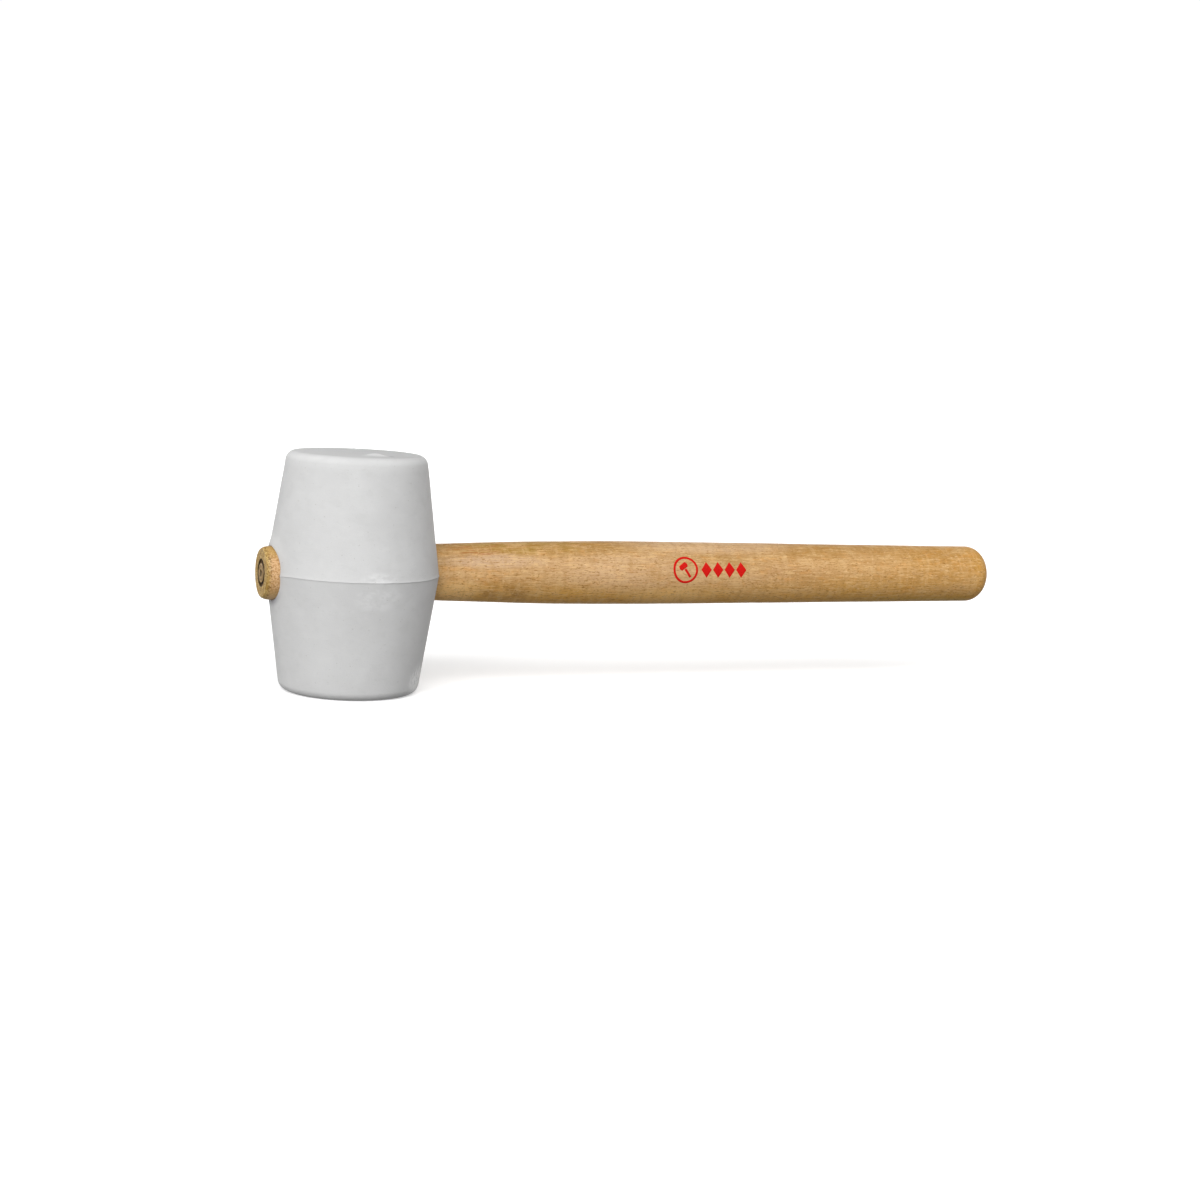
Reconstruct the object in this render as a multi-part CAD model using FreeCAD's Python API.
"""Rubber mallet: a one-piece moulded head on a turned wooden handle, held by a steel ring wedge.

Units are millimetres. The origin is the centre of the lower striking face. +Z runs up the axis
of the head to the upper striking face, and +X runs along the handle towards the grip. Each
function below returns one sub-part, and the end of the script writes each to parts/NODE.step.
"""

import FreeCAD
import Part

import math
import os

from FreeCAD import Vector

# --- The head ---------------------------------------------------------------------------------
HEAD_LENGTH = 97.0  # from striking face to striking face
EQUATOR_DIAMETER = 70.0  # widest, at mid height
FACE_CORNER_DIAMETER = 56.2  # where the conical side would meet the face without its rounding
FACE_EDGE_RADIUS = 4.0
EYE_LIP_RADIUS = 0.8  # rounding of both mouths of the eye
EYE_LIP_TURN = math.radians(60)

# --- The handle, as distances from the axis of the head ---------------------------------------
KNOB_FACE_X = -38.0  # the sawn end, which stands proud of the head
BUTT_X = 302.0
KNOB_DIAMETER = 21.5
KNOB_FACE_DIAMETER = 18.4
KNOB_ROUNDING = 3.6  # length of the rounding behind the sawn end
WAIST_X = -12.0  # the narrowest place, inside the eye
WAIST_DIAMETER = 21.0
NECK_X = 33.0  # where the handle leaves the head
NECK_DIAMETER = 23.3
CREST_X = 126.0  # the thickest place
CREST_DIAMETER = 27.1
BUTT_DIAMETER = 25.2  # where the straight taper would end
BUTT_ROUNDING = 8.0

# --- The ring wedge, driven into the end grain -------------------------------------------------
WEDGE_OUTER_DIAMETER = 11.0
WEDGE_WALL = 1.5
WEDGE_TIP_WALL = 0.3
WEDGE_LENGTH = 12.0
WEDGE_SINK = 0.7  # how far its driven end lies below the sawn end
BARB_COUNT = 3
BARB_DEPTH = 0.25
BARB_PITCH = 2.6
LATHE_CENTRE_DIAMETER = 2.8  # the cone that the lathe's centre left in the end grain
LATHE_CENTRE_DEPTH = 2.0

# --- Derived ----------------------------------------------------------------------------------
AXIS_Z = HEAD_LENGTH / 2  # height of the handle's axis
EQUATOR_R = EQUATOR_DIAMETER / 2
FACE_CORNER_R = FACE_CORNER_DIAMETER / 2
Z_AXIS = Vector(0, 0, 1)
X_AXIS = Vector(1, 0, 0)


def revolve(edges, centre, axis):
    """The solid that a closed outline sweeps in a full turn about the axis."""
    return Part.Face(Part.Wire(Part.__sortEdges__(edges))).revolve(centre, axis, 360)


def line(a, b):
    return Part.LineSegment(a, b).toShape()


def rounded_corner(before, corner, after, radius):
    """The two tangent points and the arc that round off a corner of an outline."""
    back = (before - corner).normalize()
    ahead = (after - corner).normalize()
    half = back.getAngle(ahead) / 2
    reach = radius / math.tan(half)
    start = corner + back * reach
    end = corner + ahead * reach
    inward = (back + ahead).normalize()
    middle = corner + inward * (radius / math.sin(half) - radius)
    return start, end, Part.Arc(start, middle, end).toShape()


def head_blank():
    """The barrel without its eye: two cones that meet at the equator, with rounded faces."""
    bottom_centre = Vector(0, 0, 0)
    bottom_corner = Vector(FACE_CORNER_R, 0, 0)
    equator = Vector(EQUATOR_R, 0, AXIS_Z)
    top_corner = Vector(FACE_CORNER_R, 0, HEAD_LENGTH)
    top_centre = Vector(0, 0, HEAD_LENGTH)
    low_in, low_out, low_arc = rounded_corner(
        bottom_centre, bottom_corner, equator, FACE_EDGE_RADIUS
    )
    high_out, high_in, high_arc = rounded_corner(
        equator, top_corner, top_centre, FACE_EDGE_RADIUS
    )
    outline = [
        line(bottom_centre, low_in),
        low_arc,
        line(low_out, equator),
        line(equator, high_out),
        high_arc,
        line(high_in, top_centre),
        line(top_centre, bottom_centre),
    ]
    return revolve(outline, bottom_centre, Z_AXIS)


def on_handle(x, radius):
    """A point of the handle's outline, at a distance from the head's axis and from its own."""
    return Vector(x, 0, AXIS_Z + radius)


def level_arc_point(level, end, x):
    """The point at x of the arc that is level at one point of the outline and reaches another."""
    rise = end.z - level.z
    run = end.x - level.x
    radius = (run**2 + rise**2) / (2 * abs(rise))
    step = radius - math.sqrt(radius**2 - (x - level.x) ** 2)
    return Vector(x, 0, level.z + math.copysign(step, rise))


def level_arc(level, end, stop_x):
    """That arc from its level point as far as stop_x.

    Its radius is many times its length, and as a spline its extents stay its own, not those of
    the whole circle.
    """
    middle = level_arc_point(level, end, (level.x + stop_x) / 2)
    stop = level_arc_point(level, end, stop_x)
    return Part.Arc(level, middle, stop).toBSpline().toShape()


# The handle's outline turns level at the waist and at the crest.
KNOB = on_handle(KNOB_FACE_X + KNOB_ROUNDING, KNOB_DIAMETER / 2)
WAIST = on_handle(WAIST_X, WAIST_DIAMETER / 2)
NECK = on_handle(NECK_X, NECK_DIAMETER / 2)
CREST = on_handle(CREST_X, CREST_DIAMETER / 2)


def handle_blank():
    """The turned handle before the ring wedge goes in: knob, waist, neck, swell, taper, butt."""
    face_centre = on_handle(KNOB_FACE_X, 0)
    face_edge = on_handle(KNOB_FACE_X, KNOB_FACE_DIAMETER / 2)
    rim = (KNOB_DIAMETER - KNOB_FACE_DIAMETER) / 2
    knob_shoulder = face_edge + Vector(
        KNOB_ROUNDING * (1 - math.cos(math.pi / 4)), 0, rim * math.sin(math.pi / 4)
    )
    butt_corner = on_handle(BUTT_X, BUTT_DIAMETER / 2)
    butt_centre = on_handle(BUTT_X, 0)
    butt_in, butt_out, butt_arc = rounded_corner(
        CREST, butt_corner, butt_centre, BUTT_ROUNDING
    )
    outline = [
        line(face_centre, face_edge),
        Part.Arc(face_edge, knob_shoulder, KNOB).toShape(),
        level_arc(WAIST, KNOB, KNOB.x),
        level_arc(WAIST, NECK, NECK.x),
        level_arc(CREST, NECK, NECK.x),
        line(CREST, butt_in),
        butt_arc,
        line(butt_out, butt_centre),
        line(butt_centre, face_centre),
    ]
    return revolve(outline, face_centre, X_AXIS)


def ring_wedge():
    """A steel tube whose wall thins to an edge. Its barbs face the driven end, to stay in."""
    driven_x = KNOB_FACE_X + WEDGE_SINK
    tip_x = driven_x + WEDGE_LENGTH
    outer = WEDGE_OUTER_DIAMETER / 2
    points = [on_handle(driven_x, outer - WEDGE_WALL), on_handle(driven_x, outer)]
    for i in range(BARB_COUNT):
        barb_x = driven_x + BARB_PITCH * (i + 1)
        points.append(on_handle(barb_x, outer - BARB_DEPTH))
        points.append(on_handle(barb_x, outer))
    points.append(on_handle(tip_x, outer - WEDGE_WALL + WEDGE_TIP_WALL))
    points.append(on_handle(tip_x, outer - WEDGE_WALL))
    outline = [line(a, b) for a, b in zip(points, points[1:] + points[:1])]
    return revolve(outline, on_handle(driven_x, 0), X_AXIS)


def handle():
    """The handle with the wedge's groove pressed into its end grain and the lathe's centre mark."""
    wood = handle_blank()
    outer = WEDGE_OUTER_DIAMETER / 2
    recess = Part.makeCylinder(outer, WEDGE_SINK, on_handle(KNOB_FACE_X, 0), X_AXIS)
    core = Part.makeCylinder(
        outer - WEDGE_WALL, WEDGE_SINK, on_handle(KNOB_FACE_X, 0), X_AXIS
    )
    centre_mark = Part.makeCone(
        LATHE_CENTRE_DIAMETER / 2,
        0,
        LATHE_CENTRE_DEPTH,
        on_handle(KNOB_FACE_X, 0),
        X_AXIS,
    )
    return wood.cut(recess.cut(core)).cut(ring_wedge()).cut(centre_mark)


def mouth(side, rim):
    """The outline of the eye from its waist to outside the barrel, ending on the handle's axis.

    The eye follows the handle up to a bell, which rounds off the rim of the mouth. The rim lies
    almost in a plane square to the handle, so one turned bell fits it. Past its arc the bell runs
    on straight, so that it leaves the barrel cleanly all round.
    """
    rim_radius = rim.z - AXIS_Z
    rim_x = math.sqrt(EQUATOR_R**2 - rim_radius**2)
    bell_x = side * (rim_x - EYE_LIP_RADIUS)
    bell_start = level_arc_point(WAIST, rim, bell_x)

    def on_bell(angle):
        run = EYE_LIP_RADIUS * math.sin(angle)
        rise = EYE_LIP_RADIUS * (1 - math.cos(angle))
        return bell_start + Vector(side * run, 0, rise)

    bell_end = on_bell(EYE_LIP_TURN)
    outside_x = side * (EQUATOR_R + EYE_LIP_RADIUS)
    slant = Vector(1, 0, side * math.tan(EYE_LIP_TURN))
    outside = bell_end + slant * (outside_x - bell_end.x)
    return [
        level_arc(WAIST, rim, bell_x),
        Part.Arc(bell_start, on_bell(EYE_LIP_TURN / 2), bell_end).toShape(),
        line(bell_end, outside),
        line(outside, on_handle(outside_x, 0)),
        line(on_handle(outside_x, 0), on_handle(WAIST_X, 0)),
    ]


def head():
    """The barrel with its eye, which has closed round the handle."""
    knob_mouth = mouth(-1, KNOB)
    neck_mouth = mouth(1, NECK)
    eye = revolve(knob_mouth + neck_mouth, on_handle(0, 0), X_AXIS)
    return head_blank().cut(eye)


NODES = {"rubber_head": head, "wooden_handle": handle, "ring_wedge": ring_wedge}

os.makedirs("parts", exist_ok=True)
for name, build in NODES.items():
    shape = build()
    solids = shape.Solids
    print(
        f"{name}: {len(solids)} solid, valid {shape.isValid()}, {shape.Volume / 1000:.1f} cm3"
    )
    shape.exportStep(f"parts/{name}.step")
